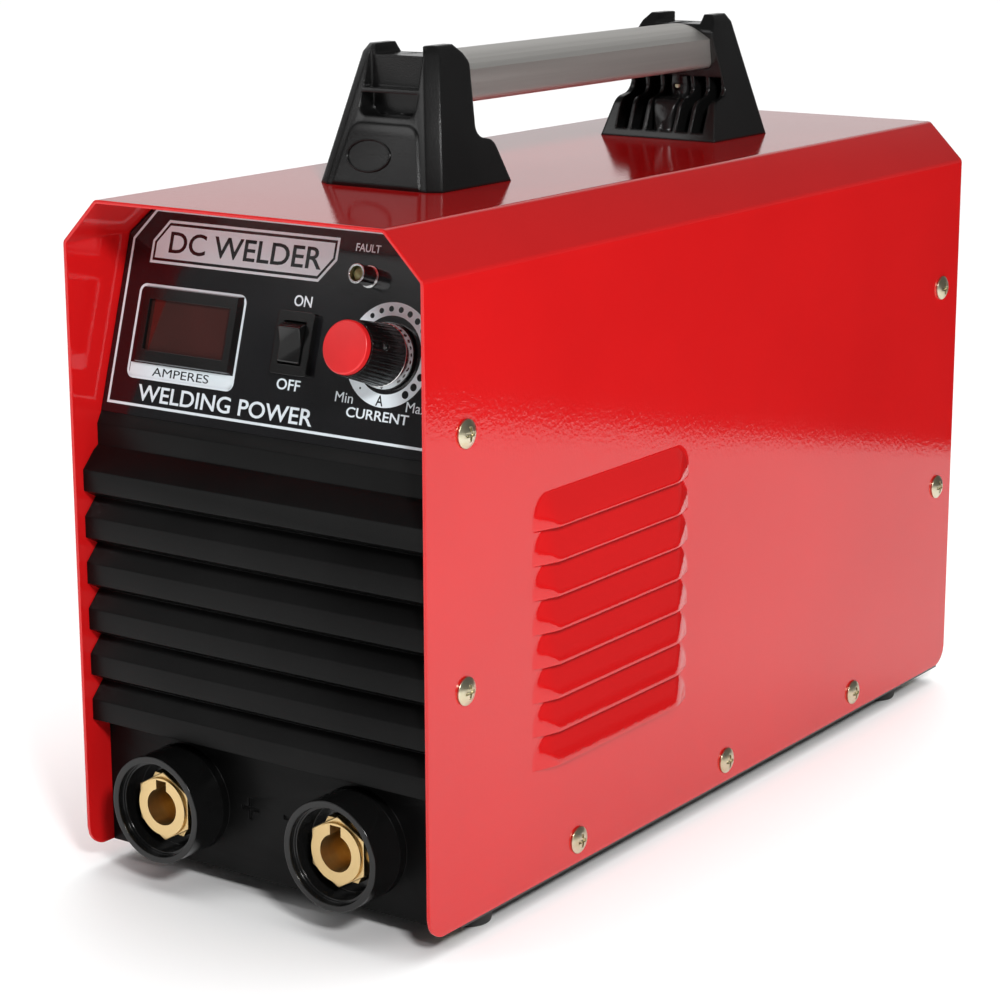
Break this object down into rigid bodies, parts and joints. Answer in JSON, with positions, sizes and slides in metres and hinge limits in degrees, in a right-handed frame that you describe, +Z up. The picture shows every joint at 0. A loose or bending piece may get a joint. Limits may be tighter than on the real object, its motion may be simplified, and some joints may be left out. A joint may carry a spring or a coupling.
{
  "type": "stick welding inverter",
  "caption": "Portable DC arc welding inverter: folded steel case, slatted front with meter, rocker switch and current knob, two bayonet output sockets, bar handle and rear fan.",
  "frame": {"origin": "on the floor, under the middle of the case", "axes": "+Z up, the front with its sockets and controls faces -Y, +X is the operator's right"},
  "size_m": [0.157, 0.3812, 0.2854],
  "materials": {
    "red_powder_coat": "semi-gloss powder coat",
    "black_steel": "black powder coat",
    "black_abs": "fine moulded texture",
    "black_handle": "satin moulded nylon",
    "panel_print": "gloss overlay with white print",
    "switch_plastic": "satin",
    "red_plastic": "satin",
    "smoked_window": "polished acrylic",
    "lamp_lens": "clear tinted lens",
    "white_plastic": "satin",
    "anodised_aluminium": "satin anodised",
    "plain_aluminium": "as extruded",
    "zinc_screw": "zinc plated",
    "steel": "plain",
    "chrome": "polished",
    "brass": "turned",
    "copper": "bare copper",
    "rubber": "matt",
    "circuit_board": "solder mask",
    "ferrite": "sintered",
    "winding_tape": "polyester tape",
    "capacitor_sleeve": "heat-shrink sleeve"
  },
  "bodies": {
    "case": {"cover": "red_powder_coat", "cover_screws": "zinc_screw", "base_pan": "black_steel", "feet": "rubber", "foot_screws": "zinc_screw", "foot_nuts": "zinc_screw", "panel_screws": "zinc_screw", "front_panel": "black_abs", "control_label": "panel_print", "meter_frame": "switch_plastic", "meter_window": "smoked_window", "meter_display": "white_plastic", "meter_board": "circuit_board", "vrd_switch_body": "switch_plastic", "led_holder": "chrome", "led_lens": "lamp_lens", "led_nut": "steel", "pot_body": "steel", "pot_nut": "steel", "socket_housing_left": "black_abs", "socket_housing_right": "black_abs", "socket_insert_left": "brass", "socket_insert_right": "brass", "socket_nuts": "black_abs", "socket_bolts": "zinc_screw", "busbars": "copper", "handle_bracket_front": "black_handle", "handle_bracket_rear": "black_handle", "handle_bar": "anodised_aluminium", "bracket_screws": "zinc_screw", "bar_screws": "zinc_screw", "rear_panel": "black_abs", "power_switch_body": "switch_plastic", "cable_gland": "black_abs", "gland_nut": "black_abs", "earth_stud": "brass", "earth_nuts": "brass", "fan_frame": "black_abs", "fan_stator": "copper", "fan_guard": "chrome", "fan_screws": "zinc_screw", "fan_nuts": "zinc_screw", "main_board": "circuit_board", "board_posts": "brass", "board_screws": "zinc_screw", "heatsinks": "plain_aluminium", "power_devices": "ferrite", "transformer_core": "ferrite", "transformer_winding": "winding_tape", "output_choke": "copper", "bulk_capacitors": "capacitor_sleeve", "control_board": "circuit_board"},
    "knob": {"current_knob": "switch_plastic", "knob_ring": "chrome", "knob_cap": "red_plastic", "knob_grub_screw": "steel", "pot_shaft": "steel"},
    "vrd_switch": {"vrd_rocker": "switch_plastic"},
    "power_switch": {"power_rocker": "red_plastic"},
    "fan": {"fan_rotor": "black_abs"}
  },
  "joints": [
    {"name": "current_knob_turn", "type": "hinge", "parent": "case", "child": "knob", "pos_m": [0.0443, -0.16294, 0.19309], "axis": [0, -0.9588, 0.284], "range_deg": [-150, 150]},
    {"name": "vrd_switch_tip", "type": "hinge", "parent": "case", "child": "vrd_switch", "pos_m": [0.0065, -0.16368, 0.19341], "axis": [1, 0, 0], "range_deg": [-22, 0]},
    {"name": "power_switch_tip", "type": "hinge", "parent": "case", "child": "power_switch", "pos_m": [-0.034, 0.1814, 0.192], "axis": [-1, 0, 0], "range_deg": [-22, 0]},
    {"name": "fan_spin", "type": "hinge", "parent": "case", "child": "fan", "pos_m": [0, 0.17, 0.082], "axis": [0, -1, 0], "continuous": true}
  ]
}
